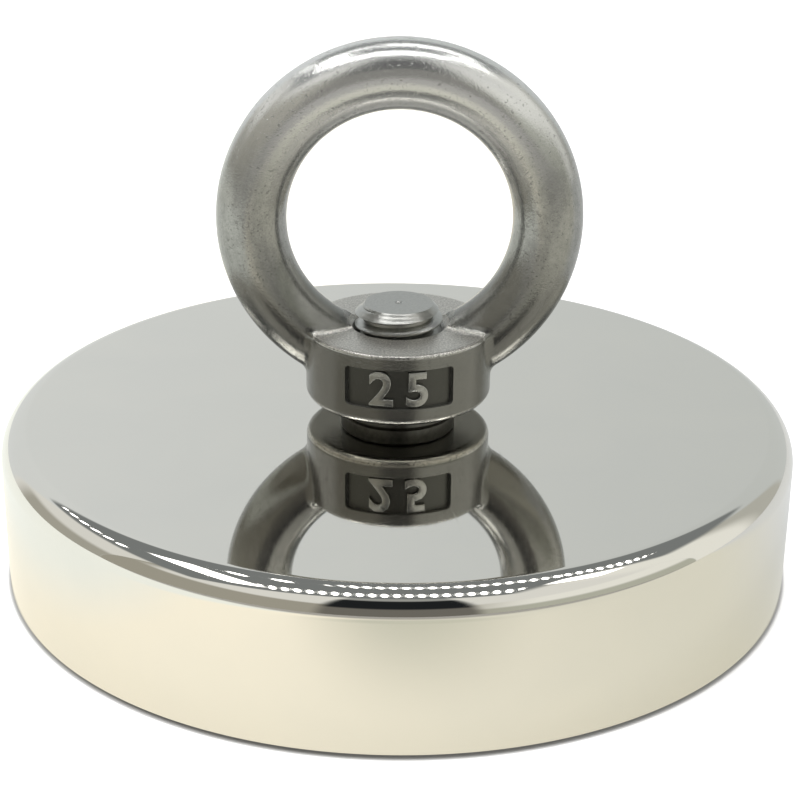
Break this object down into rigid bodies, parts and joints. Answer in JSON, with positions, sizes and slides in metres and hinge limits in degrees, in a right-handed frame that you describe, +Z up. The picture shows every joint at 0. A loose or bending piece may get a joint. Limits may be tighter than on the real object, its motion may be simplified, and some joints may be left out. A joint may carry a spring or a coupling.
{
  "type": "magnet fishing magnet",
  "caption": "Round steel pot magnet with a flat pulling face below and a screwed-on eye nut above, for a rope or snap hook.",
  "frame": {"origin": "centre of the working face, on the stud's axis, level with the rim of the pot", "axes": "+Z up along the stud towards the eye; the eye's opening faces -Y and +Y, with the sunk panel on the -Y side"},
  "size_m": [0.09, 0.09, 0.0609],
  "materials": {
    "nickel_plating": "mirror-bright nickel plating",
    "magnet_nickel": "satin nickel plating on sintered magnet",
    "adhesive": "cured adhesive",
    "resin": "cast black resin",
    "bush_steel": "turned steel",
    "screw_steel": "plain stainless steel",
    "seat_steel": "turned steel",
    "cast_stainless": "cast and tumbled stainless steel"
  },
  "bodies": {
    "pot": {"steel_pot": "nickel_plating", "ring_magnet": "magnet_nickel", "magnet_adhesive": "adhesive", "outer_resin_ring": "resin", "inner_resin_ring": "resin", "centre_bush": "bush_steel", "countersunk_screw": "screw_steel"},
    "seat_ring": {"seat_ring": "seat_steel"},
    "eye_nut": {"eye_nut": "cast_stainless"}
  },
  "joints": [
    {"name": "eye_nut_lift", "type": "slide", "parent": "pot", "child": "seat_ring", "axis": [0, 0, 1], "range_m": [0, 0.0135]},
    {"name": "eye_nut_turn", "type": "hinge", "parent": "seat_ring", "child": "eye_nut", "pos_m": [0, 0, 0.02], "axis": [0, 0, 1], "range_deg": [0, 3240]}
  ],
  "couplings": [
    {"joint": "eye_nut_lift", "follows": "eye_nut_turn", "m_per_rad": 0.00023873}
  ]
}
